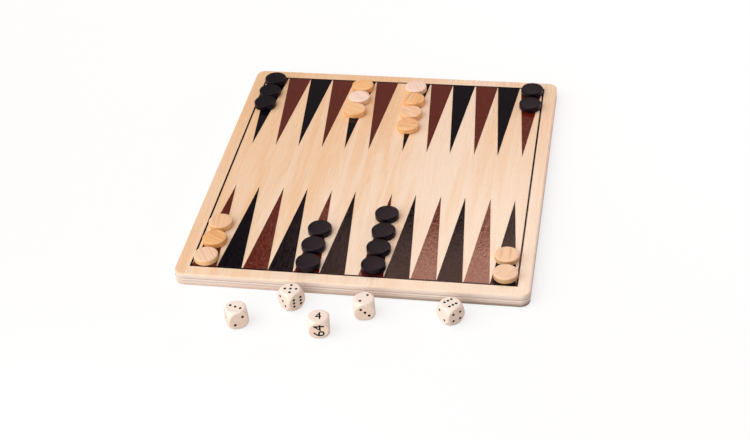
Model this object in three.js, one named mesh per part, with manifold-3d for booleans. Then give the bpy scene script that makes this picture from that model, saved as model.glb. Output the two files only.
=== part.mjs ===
// A backgammon set laid out for play: a flat plywood board printed with twenty-four points, the
// checkers standing on it, and the dice and doubling cube on the table in front of it.
// Millimetres, +Z up. The origin is the centre of the board's underside, and -Y is its front.
import * as THREE from 'three';
import { mergeVertices } from 'three/addons/utils/BufferGeometryUtils.js';
import Module from 'manifold-3d';

const wasm = await Module();
wasm.setup();

// Board: one flat panel of five sheets glued crosswise, sawn to shape and eased along its edges
const BOARD_WIDTH = 280;
const BOARD_DEPTH = 310;
const PLY_THICKNESS = 2.2;
const CORNER_RADIUS = 8;
const EDGE_EASE = 1.4;

// Print: an outline and two facing rows of long triangular points, brown and black by turns
const BORDER = 10.75; // bare wood between the board's edge and the outline
const LINE_WIDTH = 1.5;
const INK_THICKNESS = 0.12;
const POINTS_PER_ROW = 12;
const MIDDLE_GAP = 10.3; // bare strip between the two halves of a row
const FACING_GAP = 63; // from the tips of the front row to the tips of the far row
const BASE_GAP = 0.7; // bare wood between the bases of two neighbouring points
const PRINT_SHIFT = 0.2; // brown was printed this far to the right, black as far to the left
const PRINT_TURN = 0.22; // degrees by which the whole print lies askew on the board
const PRINT_OFFSET = 0.2; // and how far its middle lies to the right of the board's middle

// Checkers: turned discs
const CHECKER_DIAMETER = 19.5;
const CHECKER_HEIGHT = 5.3;
const CHECKER_EASE = 0.9;

// Dice and doubling cube: cubes with their corners tumbled round, the dice with drilled spots
const DIE_SIZE = 16;
const DOUBLING_CUBE_SIZE = 16;
const CORNER_CUT = 3.1; // taken off each corner, along the cube's diagonal
const SPOT_SPACING = 3.1;
const SPOT_DIAMETER = 2.2;
const SPOT_DEPTH = 0.4;

// Facets
const CORNER_STEPS = 6;
const EASE_STEPS = 2;
const CHECKER_SIDES = 28;
const BALL_DETAIL = 3;
const SPOT_SIDES = 8;

// Where the checkers stand: the point they are on, counted from the left, then for each checker
// the gap before it, going in from the outline, and its drift to the right of the point's middle
const STACKS = [
  { wood: 'natural', row: 'front', column: 1, gaps: [-1.1, 3.2, 2.7], drifts: [-0.3, 1.3, 1.0] },
  { wood: 'black', row: 'front', column: 5, gaps: [-1.5, 3.0, 2.4], drifts: [-0.1, 0, 1.1] },
  { wood: 'black', row: 'front', column: 7, gaps: [0.1, 2.6, 2.6, 4], drifts: [0.8, 1.5, 2.1, 1.3] },
  { wood: 'natural', row: 'front', column: 12, gaps: [0, 2.8], drifts: [1.0, 0.2] },
  { wood: 'black', row: 'far', column: 1, gaps: [-2.2, 1.6, 0.5], drifts: [-0.7, -1.6, -1.8] },
  { wood: 'natural', row: 'far', column: 5, gaps: [3.0, 0.7, 1.4], drifts: [-0.1, -0.2, -0.6] },
  { wood: 'natural', row: 'far', column: 7, gaps: [1.8, 1.6, 2.1, 1.3], drifts: [-2, -0.7, -0.5, -0.3] },
  { wood: 'black', row: 'far', column: 12, gaps: [-2.9, 4.9], drifts: [0.9, 0.9] },
];

// Where the dice lie: the numbers on the upper and front faces, the distance to the right of the
// board's middle, the gap behind the die to the board's front edge, and the turn in degrees
const DICE = [
  { name: 'die_1', up: 3, front: 2, across: -78.7, gap: 29.9, turn: 28.1 },
  { name: 'die_2', up: 5, front: 6, across: -41.4, gap: 4.2, turn: 47.7 },
  { name: 'die_3', up: 2, front: 3, across: 16.3, gap: 9.3, turn: 13.7 },
  { name: 'die_4', up: 6, front: 4, across: 82.1, gap: 8.1, turn: 43 },
];
const DOUBLING_CUBE = { name: 'doubling_cube', across: -14.2, gap: 33.7, turn: 11.2 };

// Each face of a die: which way it looks, and its spots in steps of the spacing.
// Opposite faces add up to seven.
const DIE_FACES = {
  1: { normal: [0, 0, -1], spots: [[0, 0, 0]] },
  2: { normal: [-1, 0, 0], spots: [[0, 1, 1], [0, -1, -1]] },
  3: { normal: [0, 1, 0], spots: [[-1, 0, 1], [0, 0, 0], [1, 0, -1]] },
  4: { normal: [0, -1, 0], spots: [[-1, 0, -1], [-1, 0, 1], [1, 0, -1], [1, 0, 1]] },
  5: { normal: [1, 0, 0], spots: [[0, -1, -1], [0, -1, 1], [0, 0, 0], [0, 1, -1], [0, 1, 1]] },
  6: {
    normal: [0, 0, 1],
    spots: [[-1, -1, 0], [0, -1, 0], [1, -1, 0], [-1, 1, 0], [0, 1, 0], [1, 1, 0]],
  },
};

const PLIES = [
  { name: 'back_veneer', colour: 0xefd3ad },
  { name: 'lower_crossband', colour: 0xd9b992 },
  { name: 'core_ply', colour: 0xefd3ad },
  { name: 'upper_crossband', colour: 0xd9b992 },
  { name: 'face_veneer', colour: 0xf5d9b4 },
];
const INK_COLOURS = { brown: 0x5f2d24, black: 0x18161a };
const CHECKER_COLOURS = { natural: 0xf0cda2, black: 0x2a272b };
const DICE_COLOUR = 0xf4dfcb;

const BOARD_THICKNESS = PLIES.length * PLY_THICKNESS;
const LINE_INSET = BORDER + LINE_WIDTH;
const FIELD_WIDTH = BOARD_WIDTH - 2 * LINE_INSET;
const FIELD_DEPTH = BOARD_DEPTH - 2 * LINE_INSET;
const HALF_ROW = POINTS_PER_ROW / 2;
const POINT_BASE = ((FIELD_WIDTH - MIDDLE_GAP) / 2 - (HALF_ROW - 1) * BASE_GAP) / HALF_ROW;
const POINT_PITCH = POINT_BASE + BASE_GAP;
const POINT_LENGTH = (FIELD_DEPTH - FACING_GAP) / 2;
const PLAYING_HEIGHT = BOARD_THICKNESS + INK_THICKNESS;

const set = new THREE.Group();

// The print and the checkers that follow it, in the print's own turned frame
const layout = new THREE.Group();
layout.rotation.z = THREE.MathUtils.degToRad(PRINT_TURN);
layout.position.x = PRINT_OFFSET;
set.add(layout);

function addPiece(group, name, geometry, colour, roughness) {
  const material = new THREE.MeshStandardMaterial({ color: colour, roughness, metalness: 0 });
  const piece = new THREE.Mesh(geometry, material);
  piece.name = name;
  group.add(piece);
  return piece;
}

function toSolid(geometry) {
  geometry.deleteAttribute('normal');
  geometry.deleteAttribute('uv');
  const welded = mergeVertices(geometry);
  const vertProperties = new Float32Array(welded.attributes.position.array);
  const triVerts = new Uint32Array(welded.index.array);
  return new wasm.Manifold(new wasm.Mesh({ numProp: 3, vertProperties, triVerts }));
}

function toGeometry(solid) {
  const mesh = solid.getMesh();
  const geometry = new THREE.BufferGeometry();
  geometry.setAttribute('position', new THREE.BufferAttribute(mesh.vertProperties, 3));
  geometry.setIndex(new THREE.BufferAttribute(mesh.triVerts, 1));
  geometry.computeVertexNormals();
  return geometry;
}

function rectangle(width, depth) {
  const x = width / 2;
  const y = depth / 2;
  return [[-x, -y], [x, -y], [x, y], [-x, y]].map(([u, v]) => new THREE.Vector2(u, v));
}

function roundedRectangle(width, depth, radius) {
  const shape = new THREE.Shape();
  rectangle(width - 2 * radius, depth - 2 * radius).forEach((corner, index) => {
    const start = Math.PI + (index * Math.PI) / 2;
    shape.absarc(corner.x, corner.y, radius, start, start + Math.PI / 2);
  });
  return shape.closePath();
}

// The whole panel, eased along its upper and lower edges
function boardBlank() {
  const geometry = new THREE.ExtrudeGeometry(roundedRectangle(BOARD_WIDTH, BOARD_DEPTH, CORNER_RADIUS), {
    depth: BOARD_THICKNESS - 2 * EDGE_EASE,
    bevelThickness: EDGE_EASE,
    bevelSize: EDGE_EASE,
    bevelOffset: -EDGE_EASE,
    bevelSegments: EASE_STEPS,
    curveSegments: CORNER_STEPS,
  });
  return toSolid(geometry.translate(0, 0, EDGE_EASE));
}

function buildPlies() {
  const blank = boardBlank();
  PLIES.forEach((ply, index) => {
    const sheet = new THREE.BoxGeometry(2 * BOARD_WIDTH, 2 * BOARD_DEPTH, PLY_THICKNESS);
    sheet.translate(0, 0, (index + 0.5) * PLY_THICKNESS);
    addPiece(set, ply.name, toGeometry(blank.intersect(toSolid(sheet))), ply.colour, 0.6);
  });
}

function inkFilm(shape) {
  return new THREE.ExtrudeGeometry(shape, { depth: INK_THICKNESS, bevelEnabled: false });
}

function buildOutline() {
  const shape = new THREE.Shape(rectangle(FIELD_WIDTH + 2 * LINE_WIDTH, FIELD_DEPTH + 2 * LINE_WIDTH));
  shape.holes.push(new THREE.Path(rectangle(FIELD_WIDTH, FIELD_DEPTH)));
  const outline = addPiece(layout, 'printed_outline', inkFilm(shape), INK_COLOURS.black, 0.5);
  outline.position.z = BOARD_THICKNESS;
}

// The middle of a point, counted from the left
function columnX(column) {
  const fromMiddle = column - (POINTS_PER_ROW + 1) / 2;
  return fromMiddle * POINT_PITCH + (Math.sign(fromMiddle) * (MIDDLE_GAP - BASE_GAP)) / 2;
}

// Both rows start at the outline and run towards the board's middle. The outermost points also
// touch the outline with their outer corners.
const ROWS = {
  front: { base: -FIELD_DEPTH / 2, inward: 1, oddColour: 'brown', evenColour: 'black' },
  far: { base: FIELD_DEPTH / 2, inward: -1, oddColour: 'black', evenColour: 'brown' },
};

function buildPoints(rowName) {
  const row = ROWS[rowName];
  for (let column = 1; column <= POINTS_PER_ROW; column += 1) {
    const colour = column % 2 ? row.oddColour : row.evenColour;
    const middle = columnX(column) + (colour === 'brown' ? PRINT_SHIFT : -PRINT_SHIFT);
    const left = column === 1 ? -FIELD_WIDTH / 2 : middle - POINT_BASE / 2;
    const right = column === POINTS_PER_ROW ? FIELD_WIDTH / 2 : middle + POINT_BASE / 2;
    const triangle = new THREE.Shape([
      new THREE.Vector2(left, row.base),
      new THREE.Vector2(right, row.base),
      new THREE.Vector2(middle, row.base + row.inward * POINT_LENGTH),
    ]);
    const name = `${rowName}_point_${String(column).padStart(2, '0')}`;
    const point = addPiece(layout, name, inkFilm(triangle), INK_COLOURS[colour], 0.5);
    point.position.z = BOARD_THICKNESS;
  }
}

function checkerGeometry() {
  const radius = CHECKER_DIAMETER / 2;
  const profile = [
    [0, 0],
    [radius - CHECKER_EASE, 0],
    [radius, CHECKER_EASE],
    [radius, CHECKER_HEIGHT - CHECKER_EASE],
    [radius - CHECKER_EASE, CHECKER_HEIGHT],
    [0, CHECKER_HEIGHT],
  ].map(([r, z]) => new THREE.Vector2(r, z));
  return new THREE.LatheGeometry(profile, CHECKER_SIDES).rotateX(Math.PI / 2);
}

function buildCheckers() {
  const count = { natural: 0, black: 0 };
  for (const stack of STACKS) {
    const row = ROWS[stack.row];
    let reach = 0;
    stack.gaps.forEach((gap, index) => {
      count[stack.wood] += 1;
      const name = `${stack.wood}_checker_${String(count[stack.wood]).padStart(2, '0')}`;
      const checker = addPiece(layout, name, checkerGeometry(), CHECKER_COLOURS[stack.wood], 0.6);
      const along = reach + gap + CHECKER_DIAMETER / 2;
      const x = columnX(stack.column) + stack.drifts[index];
      checker.position.set(x, row.base + row.inward * along, PLAYING_HEIGHT);
      reach += gap + CHECKER_DIAMETER;
    });
  }
}

function tumbledCube(size) {
  const ballRadius = (size * Math.sqrt(3)) / 2 - CORNER_CUT;
  const ball = toSolid(new THREE.IcosahedronGeometry(ballRadius, BALL_DETAIL));
  return toSolid(new THREE.BoxGeometry(size, size, size)).intersect(ball);
}

// The drill for one spot, set half into the face
function spotDrill(normal, spot) {
  const radius = SPOT_DIAMETER / 2;
  const drill = new THREE.CylinderGeometry(radius, radius, 2 * SPOT_DEPTH, SPOT_SIDES);
  const outward = new THREE.Vector3(...normal);
  const place = new THREE.Vector3(...spot).multiplyScalar(SPOT_SPACING);
  place.addScaledVector(outward, DIE_SIZE / 2);
  const aim = new THREE.Quaternion().setFromUnitVectors(new THREE.Vector3(0, 1, 0), outward);
  return toSolid(drill.applyQuaternion(aim).translate(place.x, place.y, place.z));
}

function dieGeometry() {
  const drills = [];
  for (const { normal, spots } of Object.values(DIE_FACES)) {
    spots.forEach((spot) => drills.push(spotDrill(normal, spot)));
  }
  return toGeometry(tumbledCube(DIE_SIZE).subtract(wasm.Manifold.union(drills)));
}

// Turns a die so that one number is on top and another looks to the front
function showNumbers(up, front) {
  const top = new THREE.Vector3(...DIE_FACES[up].normal);
  const back = new THREE.Vector3(...DIE_FACES[front].normal).negate();
  const right = new THREE.Vector3().crossVectors(back, top);
  const turn = new THREE.Matrix4().makeBasis(right, back, top).transpose();
  return new THREE.Quaternion().setFromRotationMatrix(turn);
}

// Stands a cube on the table, its corners clear of the board's front edge
function standInFront(cube, size, place) {
  const reach = (size * Math.SQRT2) / 2;
  const turn = new THREE.Quaternion();
  turn.setFromAxisAngle(new THREE.Vector3(0, 0, 1), THREE.MathUtils.degToRad(place.turn));
  cube.quaternion.premultiply(turn);
  cube.position.set(place.across, -BOARD_DEPTH / 2 - place.gap - reach, size / 2);
}

function buildDice() {
  const geometry = dieGeometry();
  for (const place of DICE) {
    const die = addPiece(set, place.name, geometry, DICE_COLOUR, 0.55);
    die.quaternion.copy(showNumbers(place.up, place.front));
    standInFront(die, DIE_SIZE, place);
  }
  const blank = toGeometry(tumbledCube(DOUBLING_CUBE_SIZE));
  const cube = addPiece(set, DOUBLING_CUBE.name, blank, DICE_COLOUR, 0.55);
  standInFront(cube, DOUBLING_CUBE_SIZE, DOUBLING_CUBE);
}

buildPlies();
buildOutline();
buildPoints('front');
buildPoints('far');
buildCheckers();
buildDice();

export default set;
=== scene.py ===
# %% [markdown]
# # A wooden backgammon set
# The set is a flat plywood board with its points printed on, twenty-four turned checkers, four dice and
# a doubling cube. The CAD model already holds every piece in its place. This lesson dresses those pieces:
# it gives them softer edges, wood, ink and light. We begin by loading the CAD model as a fixed frame.

import math
import random

import bmesh
import bpy
from mathutils import Matrix, Vector


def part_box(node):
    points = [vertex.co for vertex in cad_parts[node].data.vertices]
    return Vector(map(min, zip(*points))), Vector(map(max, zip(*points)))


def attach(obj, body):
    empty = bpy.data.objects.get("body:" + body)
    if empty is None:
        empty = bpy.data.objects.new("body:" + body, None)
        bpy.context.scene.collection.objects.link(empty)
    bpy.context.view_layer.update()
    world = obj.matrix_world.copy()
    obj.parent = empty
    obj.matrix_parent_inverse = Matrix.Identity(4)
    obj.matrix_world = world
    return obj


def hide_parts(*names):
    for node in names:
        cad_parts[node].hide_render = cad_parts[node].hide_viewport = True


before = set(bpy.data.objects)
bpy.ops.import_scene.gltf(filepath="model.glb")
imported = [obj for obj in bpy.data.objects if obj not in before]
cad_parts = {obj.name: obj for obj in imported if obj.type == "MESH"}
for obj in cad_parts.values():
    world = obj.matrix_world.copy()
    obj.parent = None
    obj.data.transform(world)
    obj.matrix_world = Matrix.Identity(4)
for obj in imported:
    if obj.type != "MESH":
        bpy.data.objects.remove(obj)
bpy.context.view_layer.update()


print("nodes in the frame:", len(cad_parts))

# %% [markdown]
# ## The camera
# The picture was taken from the front right, a little over a metre away, looking down at the set. A long
# lens keeps the far edge of the board from looking much narrower than the near one. We could turn a camera
# by hand until it looks right. Here we aim it instead: a place, a point to look at, and a small roll,
# because the picture's right side dips. Three settings that mean something are easier to adjust than three
# angles.

# %% Aim the camera
CAMERA_PLACE = Vector((0.2051, -1.0750, 0.7603))
CAMERA_AIM = Vector((0.0075, -0.0697, 0.0110))
CAMERA_ROLL = math.radians(-3.18)
CAMERA_LENS = 75.0
SENSOR_WIDTH = 36.0
NEAREST_SEEN = 0.05
FARTHEST_SEEN = 100


def new_object(name, data):
    thing = bpy.data.objects.new(name, data)
    bpy.context.scene.collection.objects.link(thing)
    return thing


camera_data = bpy.data.cameras.new("camera")
camera_data.lens = CAMERA_LENS
camera_data.sensor_width = SENSOR_WIDTH
camera_data.clip_start = NEAREST_SEEN
camera_data.clip_end = FARTHEST_SEEN
camera = new_object("camera", camera_data)
sight = (CAMERA_AIM - CAMERA_PLACE).normalized()
level_right = sight.cross(Vector((0, 0, 1))).normalized()
camera_right = Matrix.Rotation(-CAMERA_ROLL, 3, sight) @ level_right
camera_up = camera_right.cross(sight)
camera_axes = Matrix((camera_right, camera_up, -sight)).transposed().to_4x4()
camera.matrix_world = Matrix.Translation(CAMERA_PLACE) @ camera_axes
bpy.context.scene.camera = camera
print("camera stands", round((CAMERA_AIM - CAMERA_PLACE).length, 3), "m from the board")

# %% [markdown]
# ## Building shaders with less typing
# Every finish in this set is a small graph of shader nodes. Creating a node takes several lines of Python,
# so we write one helper that adds a node, sets its options and fills its sockets. A socket that is given
# another socket is linked to it, and anything else becomes its value. Colours are easier to think of as
# they appear on screen, so another helper turns screen values from 0 to 255 into the linear light values
# that Blender computes with.


# %% Node helpers
def plug(tree, socket, value):
    if isinstance(value, bpy.types.NodeSocket):
        tree.links.new(value, socket)
    else:
        socket.default_value = value


def add(tree, kind, options=None, **sockets):
    node = tree.nodes.new("ShaderNode" + kind)
    for name, value in (options or {}).items():
        setattr(node, name, value)
    for name, value in sockets.items():
        plug(tree, node.inputs[name.replace("_", " ")], value)
    return node


def maths(tree, operation, first, second=0.0):
    node = add(tree, "Math", {"operation": operation})
    plug(tree, node.inputs[0], first)
    plug(tree, node.inputs[1], second)
    return node.outputs[0]


def remap(tree, value, low, high, to_low=0.0, to_high=1.0):
    node = add(tree, "MapRange", {"interpolation_type": "SMOOTHSTEP"})
    for index, number in enumerate((value, low, high, to_low, to_high)):
        plug(tree, node.inputs[index], number)
    return node.outputs[0]


print("shader helpers:", [helper.__name__ for helper in (plug, add, maths, remap)])

# %% Colour helpers
MIX_SOCKETS = (0, 6, 7)  # where a Mix node that is set to colour takes the amount and the two colours
MIX_RESULT = 2


def mix_colour(tree, amount, first, second):
    node = add(tree, "Mix", {"data_type": "RGBA"})
    for index, value in zip(MIX_SOCKETS, (amount, first, second)):
        plug(tree, node.inputs[index], value)
    return node.outputs[MIX_RESULT]


def screen(red, green, blue):
    """Linear light for a colour as it appears on screen, by the curve that screens share."""
    shares = (red / 255, green / 255, blue / 255)
    linear = [x / 12.92 if x <= 0.04045 else ((x + 0.055) / 1.055) ** 2.4 for x in shares]
    return (*linear, 1.0)


print("middle grey on screen is", round(screen(128, 128, 128)[0], 3), "in linear light")

# %% [markdown]
# ## The table
# The set stands on a plain white sweep, which has to look pure white and still keep the shadows. More
# light would wash out the wood, so the floor glows slightly for rays that come from the camera or from a
# mirroring surface. The glow must not light up the narrow gap under the round edge of a die, so it is
# weighed with ambient occlusion over a very short reach. Beside a plain wall half of the sky is open, so
# everything above one half counts as open. For all other rays the floor is a dull warm paper, so that the
# light which comes back from below doesn't fill every shadow on the wood.

# %% The floor
FLOOR_HALF = 15.0
FLOOR_GLOW = 0.70
CONTACT_REACH = 0.0025
OPEN_RANGE = (0.05, 0.5)
SEEN_WHITE = (1, 1, 1, 1)
PAPER_BOUNCE = (0.54, 0.475, 0.44, 1)

floor_mesh = bpy.data.meshes.new("floor")
floor_corners = [(-FLOOR_HALF, -FLOOR_HALF, 0), (FLOOR_HALF, -FLOOR_HALF, 0),
                 (FLOOR_HALF, FLOOR_HALF, 0), (-FLOOR_HALF, FLOOR_HALF, 0)]
floor_mesh.from_pydata(floor_corners, [], [(0, 1, 2, 3)])
floor = new_object("floor", floor_mesh)

white_sweep = bpy.data.materials.new("white_sweep")
white_sweep.use_nodes = True
tree = white_sweep.node_tree
tree.nodes.clear()
ray = add(tree, "LightPath").outputs
seen = maths(tree, "MAXIMUM", ray["Is Camera Ray"], ray["Is Glossy Ray"])
seen = maths(tree, "MAXIMUM", seen, ray["Is Transmission Ray"])
paper = add(tree, "BsdfDiffuse", Color=mix_colour(tree, seen, PAPER_BOUNCE, SEEN_WHITE))
glow = add(tree, "Emission", Color=SEEN_WHITE, Strength=1.0)
open_air = add(tree, "AmbientOcclusion", {"samples": 16}, Distance=CONTACT_REACH).outputs["AO"]
open_air = remap(tree, open_air, *OPEN_RANGE)
glow_share = maths(tree, "MULTIPLY", maths(tree, "MULTIPLY", seen, open_air), FLOOR_GLOW)
surface = add(tree, "MixShader", Fac=glow_share)
plug(tree, surface.inputs[1], paper.outputs[0])
plug(tree, surface.inputs[2], glow.outputs[0])
add(tree, "OutputMaterial", Surface=surface.outputs[0])
floor_mesh.materials.append(white_sweep)
print("floor is", 2 * FLOOR_HALF, "m across")

# %% [markdown]
# ## The lamps
# Soft light comes mostly from the left, so the right sides of the dice and the strip of table to the right
# of the board are a little darker. A broad sun with a wide angle behaves like a very large softbox and
# lights the whole table evenly. A low strip of light in front fills the faces that look at us, more on the
# left than on the right. A weak pink lamp stands low on the right, behind the dice: it lifts the board's
# right side and the shadow beside it, but it leaves the right faces of the dice alone. A warm lamp stands
# high behind the board. It adds little light, but it is what the satin ink in front mirrors, so it draws
# the sheen across the points near us on the right. A small strip under it carries the sheen on along the
# last black point.

# %% Light the set
KEY_FROM = Vector((-0.60, -0.39, 0.72))
KEY_STRENGTH = 2.28
KEY_ANGLE = math.radians(88)
FILL_FROM = Vector((-0.13, -0.50, 0.11))
FILL_WIDTH = 0.45
FILL_HEIGHT = 0.12
FILL_POWER = 0.205
SIDE_FROM = Vector((0.85, 0.50, 0.19))
SIDE_SIZE = 0.36
SIDE_POWER = 2.7
SIDE_COLOUR = (1.0, 0.76, 0.82)
SHEEN_FROM = Vector((0.10, 2.025, 2.335))
SHEEN_WIDTH = 1.48
SHEEN_HEIGHT = 1.15
SHEEN_POWER = 13.8
SHEEN_COLOUR = (1.0, 0.80, 0.70)
STRIP_FROM = Vector((0.14, 2.33, 1.79))
STRIP_WIDTH = 0.44
STRIP_HEIGHT = 0.24
STRIP_POWER = 0.98


def lamp(name, kind, place, **settings):
    data = bpy.data.lights.new(name, kind)
    for key, value in settings.items():
        setattr(data, key, value)
    thing = new_object(name, data)
    thing.location = place
    thing.rotation_euler = (-place).to_track_quat("-Z", "Y").to_euler()


lamp("key_softbox", "SUN", KEY_FROM, energy=KEY_STRENGTH, angle=KEY_ANGLE)
lamp("fill_softbox", "AREA", FILL_FROM, energy=FILL_POWER, shape="RECTANGLE", size=FILL_WIDTH,
     size_y=FILL_HEIGHT)
lamp("side_softbox", "AREA", SIDE_FROM, energy=SIDE_POWER, color=SIDE_COLOUR, size=SIDE_SIZE)
lamp("sheen_softbox", "AREA", SHEEN_FROM, energy=SHEEN_POWER, color=SHEEN_COLOUR, shape="RECTANGLE",
     size=SHEEN_WIDTH, size_y=SHEEN_HEIGHT)
lamp("strip_softbox", "AREA", STRIP_FROM, energy=STRIP_POWER, color=SHEEN_COLOUR, shape="RECTANGLE",
     size=STRIP_WIDTH, size_y=STRIP_HEIGHT)

# %% [markdown]
# ## The room
# Light also comes back from the walls of a studio. A single grey world would do, but then the black ink
# would mirror as much light from behind the board as from anywhere else and turn grey. So the room is
# brighter on our side and to the left, and dimmer behind the board. The direction of a world ray gives us
# that with two multiplications. Low down behind the board stands a pale wall, which the far points mirror.

# %% Room light
ROOM_LEVEL = 0.30
ROOM_FROM_FRONT = 0.34
ROOM_FROM_LEFT = 0.14
ROOM_COLOUR = (1.0, 0.98, 0.965, 1)
WALL_GLOW = 0.19
WALL_TOP = (0.60, 0.53)  # how far a ray rises where the wall begins to show and where it shows fully
WALL_BEHIND = (0.2, 0.6)  # the same for how far a ray leads away from us

room = bpy.data.worlds.new("room")
room.use_nodes = True
bpy.context.scene.world = room
tree = room.node_tree
direction = add(tree, "SeparateXYZ", Vector=add(tree, "TexCoord").outputs["Generated"]).outputs
from_front = maths(tree, "MULTIPLY", direction["Y"], -ROOM_FROM_FRONT)
from_left = maths(tree, "MULTIPLY", direction["X"], -ROOM_FROM_LEFT)
level = maths(tree, "ADD", maths(tree, "ADD", from_front, from_left), ROOM_LEVEL)
wall = maths(tree, "MULTIPLY", remap(tree, direction["Z"], *WALL_TOP),
             remap(tree, direction["Y"], *WALL_BEHIND))
level = maths(tree, "ADD", level, maths(tree, "MULTIPLY", wall, WALL_GLOW))
background = tree.nodes["Background"]
background.inputs["Color"].default_value = ROOM_COLOUR
plug(tree, background.inputs["Strength"], level)
bpy.context.scene.view_settings.view_transform = "Standard"
print("room level", ROOM_LEVEL, "and wall glow", WALL_GLOW)

# %% [markdown]
# ## Wood as a solid
# Everything here except the ink and the paint is wood. A picture of wood wrapped round a piece would
# stretch at the edges and show seams. Instead we describe wood as a solid that fills space, and each piece
# is cut from it: the face then shows long grain and the sawn end shows end grain, as on the real thing. The
# grain has four layers. Broad streaks shift the tone, growth rings draw the veins, fine fibres run along
# the stick, and short pores leave dark flecks. A ring darkens slowly towards winter and ends sharply, so
# its wave is a saw and not a sine. Good and bad seasons make some rings strong and others hardly visible.
#
# All layers are much longer along the grain than across it, so one helper stretches space before each
# texture. Noise seldom strays far from one half, so each layer takes a range of it and spreads that range
# from 0 to 1.

# %% Grain layers
RING_CONSTANT = 0.314  # Blender's ring wave repeats after this distance at scale 1
RING_STRETCH = (1, 0.25)
RING_RANGE = (0.45, 1.0)
PATCHES = (14, 5)  # these five are repeats in a metre, across and along the grain
STREAKS = (110, 7)
SEASONS = (260, 18)
FIBRES = (1500, 45)
PORES = (2600, 160)
STREAK_SHARE = 0.55
TONE_RANGE = (0.36, 0.64)
SEASON_RANGE = (0.38, 0.62)
FAINTEST_RING = 0.1
FIBRE_RANGE = (0.30, 0.70)
PORE_RANGE = (0.60, 0.72)


def object_place(tree):
    return add(tree, "TexCoord").outputs["Object"]


def stretch(tree, place, across, along):
    node = add(tree, "VectorMath", {"operation": "MULTIPLY"})
    plug(tree, node.inputs[0], place)
    node.inputs[1].default_value = (across, along, across)
    return node.outputs[0]


def noise(tree, stick, repeats, detail, **settings):
    place = stretch(tree, stick, *repeats)
    return add(tree, "TexNoise", Vector=place, Scale=1.0, Detail=detail, **settings).outputs[0]


def growth_rings(tree, stick, ring_gap, tilt):
    leaning = add(tree, "Mapping", Vector=stick, Rotation=(tilt, 0, 0)).outputs[0]
    wave = add(tree, "TexWave", {"wave_type": "RINGS", "rings_direction": "Y", "wave_profile": "SAW"},
               Vector=stretch(tree, leaning, *RING_STRETCH), Scale=RING_CONSTANT / ring_gap,
               Distortion=6.0, Detail=2.0, Detail_Scale=0.35, Detail_Roughness=0.5).outputs["Fac"]
    seasons = noise(tree, stick, SEASONS, detail=1.0)
    return maths(tree, "MULTIPLY", remap(tree, wave, *RING_RANGE),
                 remap(tree, seasons, *SEASON_RANGE, FAINTEST_RING, 1.0))


def grain(tree, turn, shift, ring_gap, tilt):
    stick = add(tree, "Mapping", Vector=object_place(tree), Location=shift, Rotation=turn).outputs[0]
    patches = noise(tree, stick, PATCHES, detail=2.0)
    streaks = noise(tree, stick, STREAKS, detail=4.0, Roughness=0.6, Distortion=0.8)
    tone = maths(tree, "ADD", maths(tree, "MULTIPLY", streaks, STREAK_SHARE),
                 maths(tree, "MULTIPLY", patches, 1 - STREAK_SHARE))
    return {
        "tone": remap(tree, tone, *TONE_RANGE),
        "rings": growth_rings(tree, stick, ring_gap, tilt),
        "fibres": remap(tree, noise(tree, stick, FIBRES, detail=2.0), *FIBRE_RANGE),
        "pores": remap(tree, noise(tree, stick, PORES, detail=1.0), *PORE_RANGE),
    }


print("fibres are about", round(1000 / FIBRES[0], 2), "mm wide and", round(1000 / FIBRES[1]), "mm long")

# %% [markdown]
# ## From grain to finish
# A wood material mixes a pale and a warm tone, and lays the veins, flecks and fibres over them in one
# darker colour. A wide sheet may also drift from one tone to the other across its width, which is one dot
# product; on the face sheet that drift is partly the wood's own tone and partly painted sheen, which makes
# the front right paler. A sawn edge may take a colour of its own: the surface normal says how upright a
# face is. On the dice the same share paints shade on the upright faces and the rounded corners. A lower rim
# may take painted shade, darker towards the table and towards the right end, which needs only the height
# and the place along the edge. The fibres also drive the roughness and a faint bump, so that the light
# breaks up along the grain.

# %% What a piece of wood may add
FIGURE = 0.52  # share of the tone that the streaks keep on a sheet that drifts
UPRIGHT = 0.05  # a normal that rises less than this belongs to an upright face
# the most that a sawn edge's own colour, or the painted shade on the dice, covers
SAWN_AND_SHADE_SHARE = 0.85
# painted shade on the board's lower rim: up to this height, growing towards the right end of the span
SHADE_HEIGHT = 0.0045
SHADE_SPAN = (-0.10, 0.12)
SHADE_SHARE = 0.78
RELIEF = 0.0002


# a drift across the sheet: partly the wood's own tone, partly painted sheen that makes the front right
# paler
def drift_tone_and_sheen(tree, tone, tone_and_sheen_drift):
    slope = add(tree, "VectorMath", {"operation": "DOT_PRODUCT"})
    plug(tree, slope.inputs[0], object_place(tree))
    slope.inputs[1].default_value = tone_and_sheen_drift
    figure = remap(tree, tone, 0, 1, 0.5 - FIGURE / 2, 0.5 + FIGURE / 2)
    return remap(tree, maths(tree, "ADD", figure, slope.outputs["Value"]), 0, 1)


# how upright a face is: a sawn edge's own colour on the board and the checkers, painted shade on the dice
def sawn_and_shade_share(tree, reach):
    facing = add(tree, "SeparateXYZ", Vector=add(tree, "NewGeometry").outputs["Normal"]).outputs
    return remap(tree, maths(tree, "ABSOLUTE", facing["Z"]), UPRIGHT, reach, SAWN_AND_SHADE_SHARE, 0.0)


# painted shade low on the board's rim, darker towards the table and towards the right end
def painted_shade_share(tree):
    spot = add(tree, "SeparateXYZ", Vector=object_place(tree)).outputs
    low = remap(tree, spot["Z"], SHADE_HEIGHT, SHADE_HEIGHT / 4)
    right = remap(tree, spot["X"], *SHADE_SPAN)
    return maths(tree, "MULTIPLY", low, maths(tree, "MULTIPLY", right, SHADE_SHARE))


def fibre_bump(tree, layers, strength, **settings):
    height = maths(tree, "SUBTRACT", layers["fibres"], layers["pores"])
    return add(tree, "Bump", Height=height, Strength=strength, Distance=RELIEF, **settings).outputs[0]


print("a rim is rubbed up to", 1000 * SHADE_HEIGHT, "mm above the table")

# %% The wood recipe
FLECK_DEPTH = 0.22
FIBRE_DEPTH = 0.10
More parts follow.
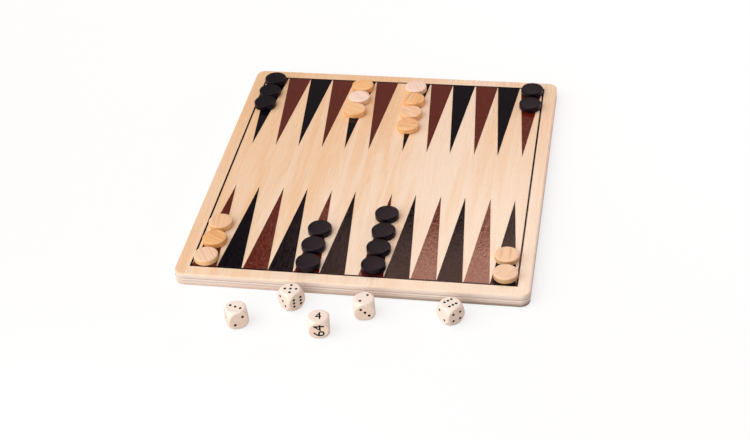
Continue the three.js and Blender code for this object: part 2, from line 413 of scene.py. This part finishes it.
# the colour of the painted shade on the board's lower rim
PAINTED_SHADE_COLOUR = screen(118, 98, 86)
SMOOTHER, ROUGHER = -0.06, 0.08  # what the fibres take from the roughness and add to it
WOOD_BUMP = 0.12


def new_finish(name):
    material = bpy.data.materials.new(name)
    material.use_nodes = True
    tree = material.node_tree
    return material, tree, tree.nodes["Principled BSDF"]


def wood(name, pale, warm, vein, turn=(0, 0, 0), shift=(0, 0, 0), ring_gap=0.002, tilt=0.05,
         vein_depth=0.30, rough=0.55, gloss=0.5, edge=None, edge_reach=0.50, tone_and_sheen_drift=None, shade_painted=False,
         sheen=(1, 1, 1, 1)):
    material, tree, finish = new_finish(name)
    layers = grain(tree, turn, shift, ring_gap, tilt)
    tone = drift_tone_and_sheen(tree, layers["tone"], tone_and_sheen_drift) if tone_and_sheen_drift else layers["tone"]
    colour = mix_colour(tree, tone, pale, warm)
    for layer, depth in (("rings", vein_depth), ("pores", FLECK_DEPTH), ("fibres", FIBRE_DEPTH)):
        colour = mix_colour(tree, maths(tree, "MULTIPLY", layers[layer], depth), colour, vein)
    if edge:
        colour = mix_colour(tree, sawn_and_shade_share(tree, edge_reach), colour, edge)
    if shade_painted:
        colour = mix_colour(tree, painted_shade_share(tree), colour, PAINTED_SHADE_COLOUR)
    roughness = remap(tree, layers["fibres"], 0, 1, rough + SMOOTHER, rough + ROUGHER)
    plug(tree, finish.inputs["Base Color"], colour)
    plug(tree, finish.inputs["Roughness"], roughness)
    plug(tree, finish.inputs["Normal"], fibre_bump(tree, layers, WOOD_BUMP))
    finish.inputs["Specular IOR Level"].default_value = gloss
    finish.inputs["Specular Tint"].default_value = sheen
    return material


print("wood recipe ready")

# %% [markdown]
# ## Skins from loops
# The board's sheets and the checkers are the same kind of shape to a modeller: an outline that is drawn
# again and again at different heights, a little smaller where an edge is eased. We could bevel a box, but
# then the amount of rounding would depend on the modifier's clamping. Drawing the loops ourselves gives
# exact control, so one helper joins a pile of loops into a closed skin.
#
# Each new piece stands in for one CAD node. It rides on the body that carries the node, and it hides the
# node.

# %% The skin helper
SMOOTH_UNDER = math.radians(32)


def finish_mesh(name, mesh, *materials):
    mesh.polygons.foreach_set("use_smooth", [True] * len(mesh.polygons))
    mesh.set_sharp_from_angle(angle=SMOOTH_UNDER)
    for material in materials:
        mesh.materials.append(material)
    return new_object(name, mesh)


def skin(name, loops, materials, bands=()):
    """Bands are the levels, counted from below, that take the second material."""
    count = len(loops[0])
    corners = [point for loop in loops for point in loop]
    faces = [tuple(reversed(range(count)))]
    slots = [0]
    for level in range(len(loops) - 1):
        low, high = level * count, (level + 1) * count
        for i in range(count):
            j = (i + 1) % count
            faces.append((low + i, low + j, high + j, high + i))
            slots.append(1 if level in bands else 0)
    faces.append(tuple(range((len(loops) - 1) * count, len(loops) * count)))
    slots.append(0)
    mesh = bpy.data.meshes.new(name)
    mesh.from_pydata(corners, [], faces)
    thing = finish_mesh(name, mesh, *materials)
    mesh.polygons.foreach_set("material_index", slots)
    return thing


def stand_in(thing, node, body):
    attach(thing, body)
    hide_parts(node)


print("faces that meet at less than", round(math.degrees(SMOOTH_UNDER)), "degrees are shaded as one")

# %% Eased edges
EASE_STEPS = 6


def eased_profile(low, high, ease_low, ease_high):
    quarter = [math.radians(90 * i / EASE_STEPS) for i in range(EASE_STEPS + 1)]
    lower = [(ease_low * (1 - math.sin(a)), low + ease_low * (1 - math.cos(a))) for a in quarter]
    upper = [(ease_high * (1 - math.cos(a)), high - ease_high * (1 - math.sin(a))) for a in quarter]
    return lower + upper


print("an eased edge has", len(eased_profile(0, 1, 0.1, 0.1)), "levels")

# %% [markdown]
# ## The board's five sheets
# The board is plywood: five sheets of birch, glued with the grain of each across its neighbours, then sawn
# and sanded. On the sawn edge the sheets show as pale and darker bands with a fine dark glue line between
# them. We build the sheets one by one and cut a hair-fine groove where two of them meet, which holds a real
# shadow. The outer sheets are pressed on so tightly that their joint hardly shows, so its groove is finer
# and stays bare. The two crossbands show their end grain to the front, so they are a little darker there.
# The lower rim takes painted shade, which is darkest at the right end.

# %% Sheet shapes
BOARD_CORNER = 0.008
BOARD_EASE = 0.0014
LOWER_EASE = 0.0007
GLUE_GROOVE = 0.00016
TIGHT_GROOVE = 0.00007
CROSSBAND_SINK = 0.00006
CORNER_STEPS = 14


def board_outline(low, high, inset, z):
    points = []
    radius = BOARD_CORNER - inset
    # a corner's place, the angle where its arc starts and the way from the corner to the arc's centre
    corners = ((high.x, low.y, -90, -1, 1), (high.x, high.y, 0, -1, -1),
               (low.x, high.y, 90, 1, -1), (low.x, low.y, 180, 1, 1))
    for x, y, start, to_x, to_y in corners:
        for step in range(CORNER_STEPS + 1):
            a = math.radians(start + 90 * step / CORNER_STEPS)
            points.append((x + to_x * BOARD_CORNER + radius * math.cos(a),
                           y + to_y * BOARD_CORNER + radius * math.sin(a), z))
    return points


print("a corner of the board has", CORNER_STEPS + 1, "points")

# %% Birch for the sheets
ACROSS = (0, 0, math.radians(90))
FACE_SHIFT = (0.035, 0.020, 0.047)
# pale towards the front right, partly as painted sheen, and warm towards the left and the far side
FACE_TONE_AND_SHEEN_DRIFT = (-2.8, 1.8, 0)
FACE_RING_GAP = 0.0036
FACE_TILT = 0.09

face_birch = wood("face_birch", screen(249, 226, 203), screen(243, 199, 156), screen(226, 176, 130),
                  shift=FACE_SHIFT, ring_gap=FACE_RING_GAP, tilt=FACE_TILT, vein_depth=0.10, rough=0.28,
                  edge=screen(250, 234, 222), tone_and_sheen_drift=FACE_TONE_AND_SHEEN_DRIFT)
# the back veneer and the crossbands take painted shade on the lower rim
back_birch = wood("back_birch", screen(247, 218, 190), screen(242, 203, 166), screen(226, 176, 130),
                  shift=(0.06, 0.05, 0.02), ring_gap=FACE_RING_GAP, tilt=FACE_TILT, vein_depth=0.14,
                  rough=0.40, edge=screen(222, 202, 190), shade_painted=True)
core_birch = wood("core_birch", screen(250, 236, 225), screen(246, 228, 215), screen(230, 204, 186),
                  shift=(0.02, 0.01, 0.03), vein_depth=0.20, rough=0.62)
crossband_birch = wood("crossband_birch", screen(246, 229, 216), screen(240, 220, 205),
                       screen(220, 192, 172), turn=ACROSS, shift=(0.01, 0.04, 0.05), vein_depth=0.30,
                       rough=0.68, shade_painted=True)
glue = wood("glue_line", screen(160, 130, 110), screen(142, 112, 94), screen(108, 82, 66), rough=0.5)
board_woods = (face_birch, back_birch, core_birch, crossband_birch, glue)
print("woods for the board:", [material.name for material in board_woods])


# %% Glue up the board
def sheet(node, material, ease_low, ease_high, sink=0.0):
    low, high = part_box(node)
    profile = eased_profile(low.z, high.z, ease_low, ease_high)
    loops = [board_outline(low, high, inset + sink, z) for inset, z in profile]
    glued = []
    if ease_low == GLUE_GROOVE:
        glued += range(EASE_STEPS)
    if ease_high == GLUE_GROOVE:
        glued += range(EASE_STEPS + 1, 2 * EASE_STEPS + 1)
    thing = skin(node + "_sheet", loops, (material, glue), glued)
    stand_in(thing, node, "board")


sheet("back_veneer", back_birch, LOWER_EASE, TIGHT_GROOVE)
sheet("lower_crossband", crossband_birch, TIGHT_GROOVE, GLUE_GROOVE, CROSSBAND_SINK)
sheet("core_ply", core_birch, GLUE_GROOVE, GLUE_GROOVE)
sheet("upper_crossband", crossband_birch, GLUE_GROOVE, TIGHT_GROOVE, CROSSBAND_SINK)
sheet("face_veneer", face_birch, TIGHT_GROOVE, BOARD_EASE)

# %% [markdown]
# ## The printed points
# The points and the line round the field are screen-printed: thin films of satin ink that follow the grain
# under them. The CAD films already have the right shape, so they stay, and only their material changes.
# The ink shares the wood's grain and its place in space, so its fibres line up with those of the face. The
# film is a little thinner over hard late wood, so the colour lifts along the veins. It also dries slightly
# wavy and uneven, which breaks up what it mirrors, so one fine noise drives both the bump and the
# roughness.

# %% Ink
INK_LIFT = {"rings": 0.30, "fibres": 0.22, "pores": 0.30}
INK_WAVES = 480.0
INK_WAVE_RANGE = (0.36, 0.64)
INK_SWELL = 0.00004
INK_ROUGH = (0.04, 0.15)
INK_BUMP = 0.08


def ink(name, colour, thin, sheen, gloss, density):
    material, tree, finish = new_finish(name)
    layers = grain(tree, (0, 0, 0), FACE_SHIFT, FACE_RING_GAP, FACE_TILT)
    lift = 0.0
    for layer, share in INK_LIFT.items():
        lift = maths(tree, "ADD", lift, maths(tree, "MULTIPLY", layers[layer], share))
    swell = add(tree, "TexNoise", Vector=object_place(tree), Scale=INK_WAVES, Detail=1.0).outputs[0]
    waves = add(tree, "Bump", Height=swell, Strength=1.0, Distance=INK_SWELL).outputs[0]
    plug(tree, finish.inputs["Base Color"], mix_colour(tree, lift, colour, thin))
    plug(tree, finish.inputs["Roughness"], remap(tree, swell, *INK_WAVE_RANGE, *INK_ROUGH))
    plug(tree, finish.inputs["Normal"], fibre_bump(tree, layers, INK_BUMP, Normal=waves))
    finish.inputs["Specular IOR Level"].default_value = gloss
    finish.inputs["Specular Tint"].default_value = sheen
    finish.inputs["IOR"].default_value = density
    return material


brown_ink = ink("brown_ink", screen(89, 20, 4), screen(103, 33, 14), sheen=(1.0, 0.66, 0.52, 1),
                gloss=0.86, density=1.6)
black_ink = ink("black_ink", screen(9, 8, 16), screen(14, 12, 19), sheen=(1.0, 0.45, 0.30, 1),
                gloss=0.22, density=1.5)
print("inks:", brown_ink.name, "and", black_ink.name)

# %% Ink the films
POINTS_PER_ROW = 12


def dress(node, material):
    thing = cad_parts[node]
    thing.data.materials.clear()
    thing.data.materials.append(material)


for number in range(1, POINTS_PER_ROW + 1):
    odd = number % 2 == 1
    dress(f"front_point_{number:02d}", brown_ink if odd else black_ink)
    dress(f"far_point_{number:02d}", black_ink if odd else brown_ink)
dress("printed_outline", black_ink)
print("printed films dressed:", 2 * POINTS_PER_ROW + 1)

# %% [markdown]
# ## The checkers
# Each checker is a small disc that was sawn from a plank, sanded and tumbled until its rims went soft. A
# cylinder with a bevel would pass from afar, but the tumbling also leaves the top a trace fuller in the
# middle. We turn a profile round the middle instead, with enough sides to look round up close.
#
# No two natural checkers have the same colour. Some are almost white, some peach and some amber brown. The
# rims show more end grain, which drinks more oil and turns yellower. We give each checker a tone by name
# and a stick of wood of its own, turned at random, with a fixed seed so that every run gives the same set.

# %% Turning a checker
CHECKER_SIDES = 72
CHECKER_EASE = 0.0010
CROWN = 0.00012
CROWN_RINGS = (0.75, 0.5, 0.25)  # shares of the top's radius


def checker(node, material):
    low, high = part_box(node)
    middle = (low + high) / 2
    radius = (high.x - low.x) / 2
    profile = eased_profile(low.z, high.z - CROWN, CHECKER_EASE, CHECKER_EASE)
    profile = [(radius - inset, z) for inset, z in profile]
    flat = profile[-1][0]
    profile += [(flat * share, high.z - CROWN * share ** 2) for share in CROWN_RINGS]
    angles = [2 * math.pi * side / CHECKER_SIDES for side in range(CHECKER_SIDES)]
    loops = [[(middle.x + reach * math.cos(a), middle.y + reach * math.sin(a), z) for a in angles]
             for reach, z in profile]
    stand_in(skin(node + "_disc", loops, (material,)), node, node)


print("a checker's rim is eased over", 1000 * CHECKER_EASE, "mm")

# %% Natural checkers
# each tone is a pale and a warm colour, the veins and the rim
PALE = (screen(250, 222, 207), screen(241, 205, 182), screen(225, 180, 150), screen(236, 196, 144))
PINKISH = (screen(251, 215, 186), screen(245, 205, 170), screen(222, 168, 126), screen(234, 188, 128))
PEACH = (screen(251, 212, 178), screen(244, 196, 152), screen(208, 142, 92), screen(234, 182, 118))
HONEY = (screen(250, 208, 161), screen(240, 180, 123), screen(200, 130, 72), screen(234, 176, 110))
AMBER = (screen(249, 197, 140), screen(235, 165, 99), screen(198, 126, 66), screen(234, 170, 100))
# a darker rim for checkers 04 and 05 at the front right: painted shade on their sides
PAINTED_SHADE_RIM = (screen(206, 163, 113),)
NATURAL_TONES = [PINKISH, AMBER, PEACH, PINKISH[:3] + PAINTED_SHADE_RIM, PEACH[:3] + PAINTED_SHADE_RIM, AMBER,
                 PALE, HONEY, PALE, HONEY, PEACH, HONEY]
CHECKER_SEED = 24
STICK_SHIFT = (0.01, 0.06)
NATURAL_LEAN = 0.25
RING_GAPS = (0.0018, 0.0042)
RING_TILTS = (-0.3, 0.3)
VEIN_DEPTHS = (0.30, 0.58)

draws = random.Random(CHECKER_SEED)


def draw_stick(lean):
    turn = (draws.uniform(-lean, lean), 0, draws.uniform(0, math.pi))
    shift = tuple(draws.uniform(*STICK_SHIFT) for axis in range(3))
    return turn, shift


for number, (pale, warm, vein, rim) in enumerate(NATURAL_TONES, 1):
    stick = wood(f"natural_stick_{number:02d}", pale, warm, vein, *draw_stick(NATURAL_LEAN),
                 ring_gap=draws.uniform(*RING_GAPS), tilt=draws.uniform(*RING_TILTS),
                 vein_depth=draws.uniform(*VEIN_DEPTHS), rough=0.50, gloss=0.35, edge=rim)
    checker(f"natural_checker_{number:02d}", stick)
print("natural checkers:", len(NATURAL_TONES))

# %% [markdown]
# ## The black checkers
# The black ones are the same discs, soaked in black stain. The stain hides the colour but not the surface:
# the fibres still break up the soft reflection on top. So we keep the wood recipe and only darken it. Some
# sticks take more polish than others, so each checker has its own gloss.

# %% Black checkers
BLACK_GLOSS = [0.28, 0.28, 0.28, 0.23, 0.23, 0.23, 0.24, 0.19, 0.16, 0.19, 0.23, 0.23]
BLACK_LEAN = 0.2
STAIN = (screen(7, 7, 13), screen(11, 11, 17), screen(5, 5, 9))
STAIN_SHEEN = (1.0, 0.64, 0.82, 1)

for number, gloss in enumerate(BLACK_GLOSS, 1):
    stained = wood(f"black_stain_{number:02d}", *STAIN, *draw_stick(BLACK_LEAN), vein_depth=0.5,
                   rough=0.34, gloss=gloss, sheen=STAIN_SHEEN)
    checker(f"black_checker_{number:02d}", stained)
print("black checkers:", len(BLACK_GLOSS))

# %% [markdown]
# ## Tumbled cubes
# The dice and the doubling cube were tumbled for so long that their corners are parts of a ball: each face
# is a round flat, and between the flats the surface is curved. A cube with a bevel never gets that shape.
# We take a cube with a fine grid on it and pull every point to the nearer of two surfaces, the cube's or
# the ball's, and we let them melt into each other over a fraction of a millimetre. Two of the dice come
# from a paler stick than the others. All of them carry a warmer, darker colour on their upright faces and
# rounded corners, which is painted shade.

# %% The blank
cube_low, cube_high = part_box("doubling_cube")
CUBE_SIZE = round(cube_high.z - cube_low.z, 6)
CORNER_CUT = 0.0031
BALL_RADIUS = CUBE_SIZE * math.sqrt(3) / 2 - CORNER_CUT
MELT = 0.0004
GRID_CUTS = 31


def soft_least(a, b, width):
    share = min(max(0.5 + 0.5 * (b - a) / width, 0), 1)
    return b + (a - b) * share - width * share * (1 - share)


def pour(shape, name):
    mesh = bpy.data.meshes.new(name)
    shape.to_mesh(mesh)
    shape.free()
    return mesh


def tumbled_blank():
    shape = bmesh.new()
    bmesh.ops.create_cube(shape, size=1.0)
    bmesh.ops.subdivide_edges(shape, edges=shape.edges[:], cuts=GRID_CUTS, use_grid_fill=True)
    for vertex in shape.verts:
        way = vertex.co.normalized()
        flat = CUBE_SIZE / 2 / max(abs(x) for x in way)
        vertex.co = way * soft_least(flat, BALL_RADIUS, MELT)
    return pour(shape, "tumbled_blank")


blank = tumbled_blank()
print("blank is", CUBE_SIZE, "m wide and has", len(blank.vertices), "vertices")

# %% Wood for the cubes
CUBE_RING_GAP = 0.0018
# how far the painted shade of the upright faces reaches up over the rounded corners
CUBE_SHADE_REACH = 0.95

# the edge colour on the cubes is painted shade on their upright faces and rounded corners
dice_wood = wood("dice_wood", screen(251, 236, 224), screen(247, 226, 210), screen(230, 196, 171),
                 turn=(0.3, 0.1, 0.5), shift=(0.02, 0.03, 0.01), ring_gap=CUBE_RING_GAP, vein_depth=0.22,
                 rough=0.50, edge=screen(247, 223, 204), edge_reach=CUBE_SHADE_REACH)
pale_dice_wood = wood("pale_dice_wood", screen(252, 240, 230), screen(249, 231, 217),
                      screen(232, 200, 176), turn=(0.2, 0.4, 1.1), shift=(0.05, 0.02, 0.04),
                      ring_gap=CUBE_RING_GAP, vein_depth=0.22, rough=0.50, edge=screen(248, 225, 208),
                      edge_reach=CUBE_SHADE_REACH)
print("sticks for the cubes:", dice_wood.name, "and", pale_dice_wood.name)

# %% [markdown]
# ## Spots
# The spots are drilled a little way into the faces and touched with black paint. Painted dots would need a
# mask in the material. A real dimple catches the light on its rim, so we cut the spots with a Boolean. The
# drill is a cluster of small balls that already wear the black paint, and the exact solver passes the
# drill's material on to the faces that it cuts. Where the drill meets the grid almost on a corner, the cut
# leaves slivers, so points closer than a few thousandths of a millimetre are welded and the faces are split
# into well-shaped triangles.

# %% Black paint
SPECKS = 2400.0
SPECK_RANGE = (0.3, 0.7)
PAINT_ROUGH = (0.45, 0.65)
PAINT_GLOSS = 0.1

black_paint, tree, finish = new_finish("black_paint")
specks = add(tree, "TexNoise", Vector=object_place(tree), Scale=SPECKS, Detail=2.0).outputs[0]
plug(tree, finish.inputs["Base Color"], mix_colour(tree, specks, screen(3, 2, 2), screen(9, 7, 7)))
plug(tree, finish.inputs["Roughness"], remap(tree, specks, *SPECK_RANGE, *PAINT_ROUGH))
finish.inputs["Specular IOR Level"].default_value = PAINT_GLOSS
print("the paint's graph has", len(tree.nodes), "nodes")

# %% Cutting marks
WELD = 0.000004


def frozen(thing):
    """The object's mesh as its modifiers or its letters make it."""
    bpy.context.view_layer.update()
    graph = bpy.context.evaluated_depsgraph_get()
    return bpy.data.meshes.new_from_object(thing.evaluated_get(graph), depsgraph=graph)


def clean(mesh):
    shape = bmesh.new()
    shape.from_mesh(mesh)
    bmesh.ops.remove_doubles(shape, verts=shape.verts[:], dist=WELD)
    bmesh.ops.dissolve_degenerate(shape, dist=WELD, edges=shape.edges[:])
    bmesh.ops.triangulate(shape, faces=shape.faces[:], quad_method="BEAUTY", ngon_method="BEAUTY")
    bmesh.ops.dissolve_degenerate(shape, dist=WELD, edges=shape.edges[:])
    shape.to_mesh(mesh)
    shape.free()


def cut(name, solid, cutter, stick=dice_wood, crossing=False):
    thing = finish_mesh(name, solid, stick)
    tool = finish_mesh(name + "_tool", cutter, black_paint)
    boolean = thing.modifiers.new("marks", "BOOLEAN")
    boolean.operation = "DIFFERENCE"
    boolean.solver = "EXACT"
    boolean.material_mode = "TRANSFER"
    boolean.use_self = crossing
    boolean.object = tool
    cut_mesh = frozen(thing)
    thing.modifiers.clear()
    thing.data = cut_mesh
    clean(cut_mesh)
    cut_mesh.set_sharp_from_angle(angle=SMOOTH_UNDER)
    bpy.data.objects.remove(tool)
    return thing


print("points within", 1000 * WELD, "mm are welded")

# %% Spot drill
SPOT_SPACING = 0.0031
SPOT_RADIUS = 0.0011
SPOT_DEPTH = 0.00045
# which way each face looks, and its spots in steps of the spacing
DIE_FACES = {
    1: ((0, 0, -1), [(0, 0, 0)]),
    2: ((-1, 0, 0), [(0, 1, 1), (0, -1, -1)]),
    3: ((0, 1, 0), [(-1, 0, 1), (0, 0, 0), (1, 0, -1)]),
    4: ((0, -1, 0), [(-1, 0, -1), (-1, 0, 1), (1, 0, -1), (1, 0, 1)]),
    5: ((1, 0, 0), [(0, -1, -1), (0, -1, 1), (0, 0, 0), (0, 1, -1), (0, 1, 1)]),
    6: ((0, 0, 1), [(-1, -1, 0), (0, -1, 0), (1, -1, 0), (-1, 1, 0), (0, 1, 0), (1, 1, 0)]),
}


def spot_drill():
    ball = (SPOT_RADIUS ** 2 + SPOT_DEPTH ** 2) / (2 * SPOT_DEPTH)
    shape = bmesh.new()
    for normal, spots in DIE_FACES.values():
        for spot in spots:
            middle = Vector(spot) * SPOT_SPACING + Vector(normal) * (CUBE_SIZE / 2 + ball - SPOT_DEPTH)
            bmesh.ops.create_icosphere(shape, subdivisions=4, radius=ball,
                                       matrix=Matrix.Translation(middle))
    return pour(shape, "spot_drill")


print("spots on a die:", sum(len(spots) for normal, spots in DIE_FACES.values()))

# %% Dice
# the face on top, the face in front, the turn in degrees and the stick
DICE = {"die_1": (3, 2, 28.1, dice_wood), "die_2": (5, 6, 47.7, pale_dice_wood),
        "die_3": (2, 3, 13.7, dice_wood), "die_4": (6, 4, 43.0, pale_dice_wood)}


def pose_cube(node, top, front, turn):
    low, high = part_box(node)
    back = -Vector(front)
    rows = Matrix((back.cross(Vector(top)), back, Vector(top)))
    return (Matrix.Translation((low + high) / 2) @ Matrix.Rotation(math.radians(turn), 4, "Z")
            @ rows.to_4x4())


for name, (up, front, turn, stick) in DICE.items():
    die = cut(name + "_tumbled", blank.copy(), spot_drill(), stick)
    die.data.transform(pose_cube(name, DIE_FACES[up][0], DIE_FACES[front][0], turn))
    stand_in(die, name, name)
    print(name, "shows", up, "and has", len(die.data.polygons), "faces")

# %% [markdown]
# ## The doubling cube
# The doubling cube carries the powers of two from 2 to 64, stamped in black. Letters can be text objects
# that float on the surface, but a stamp presses the fibres down. We turn each number into a thin solid,
# lay it half into its face and cut it out like the spots, so the digits are shallow and black inside. Ink
# spreads a little in wood, so each number goes in five times, shifted by about a tenth of a millimetre, and
# the solver is told that the cutter may cross itself.

# %% Numbers
NUMBER_DEPTH = 0.00012
NUMBER_SIZES = {1: (0.0077, 0.88), 2: (0.0083, 0.96)}  # height and stretch, by the count of digits
# which way each number's face looks, and which way the number's top points
NUMBERS = {
    "4": ((0, 0, 1), (0, 1, 0)),
    "64": ((0, -1, 0), (-1, 0, 0)),
    "2": ((1, 0, 0), (0, 0, 1)),
    "8": ((-1, 0, 0), (0, 1, 0)),
    "16": ((0, 1, 0), (0, 0, 1)),
    "32": ((0, 0, -1), (1, 0, 0)),
}


def number_mesh(text):
    curve = bpy.data.curves.new("number_" + text, "FONT")
    curve.body = text
    curve.align_x = "CENTER"
    curve.size = 1.0
    curve.extrude = 0.1
    curve.resolution_u = 6
    thing = new_object("number_" + text, curve)
    mesh = frozen(thing)
    bpy.data.objects.remove(thing)
    lows = [min(v.co[axis] for v in mesh.vertices) for axis in range(3)]
    highs = [max(v.co[axis] for v in mesh.vertices) for axis in range(3)]
    centre = Vector([(a + b) / 2 for a, b in zip(lows, highs)])
    height, stretch_x = NUMBER_SIZES[len(text)]
    scale = height / (highs[1] - lows[1])
    thick = 2 * NUMBER_DEPTH / (highs[2] - lows[2])
    mesh.transform(Matrix.Diagonal((scale * stretch_x, scale, thick, 1)) @ Matrix.Translation(-centre))
    return mesh


print("numbers on the cube:", ", ".join(NUMBERS))

# %% Stamp the cube
INK_SPREAD = 0.00013
SPREAD_WAYS = ((0, 0), (1, 0), (-1, 0), (0, 1), (0, -1))
COPY_STEP = 0.000004  # keeps the copies of a number from ending in one plane
STAMP_WELD = 1e-7
CUBE_TURN = 11.2


def number_stamp():
    shape = bmesh.new()
    for text, (normal, upward) in NUMBERS.items():
        normal, upward = Vector(normal), Vector(upward)
        lay = Matrix((upward.cross(normal), upward, normal)).transposed().to_4x4()
        for copy, (across, along) in enumerate(SPREAD_WAYS):
            mesh = number_mesh(text)
            spread = Vector((across, along, 0)) * INK_SPREAD + Vector((0, 0, copy * COPY_STEP))
            mesh.transform(Matrix.Translation(normal * CUBE_SIZE / 2) @ lay @ Matrix.Translation(spread))
            shape.from_mesh(mesh)
    bmesh.ops.remove_doubles(shape, verts=shape.verts[:], dist=STAMP_WELD)
    return pour(shape, "number_stamp")


cube = cut("doubling_cube_tumbled", blank.copy(), number_stamp(), crossing=True)
cube.data.transform(pose_cube("doubling_cube", (0, 0, 1), (0, -1, 0), CUBE_TURN))
stand_in(cube, "doubling_cube", "doubling_cube")
print("doubling cube has", len(cube.data.polygons), "faces")
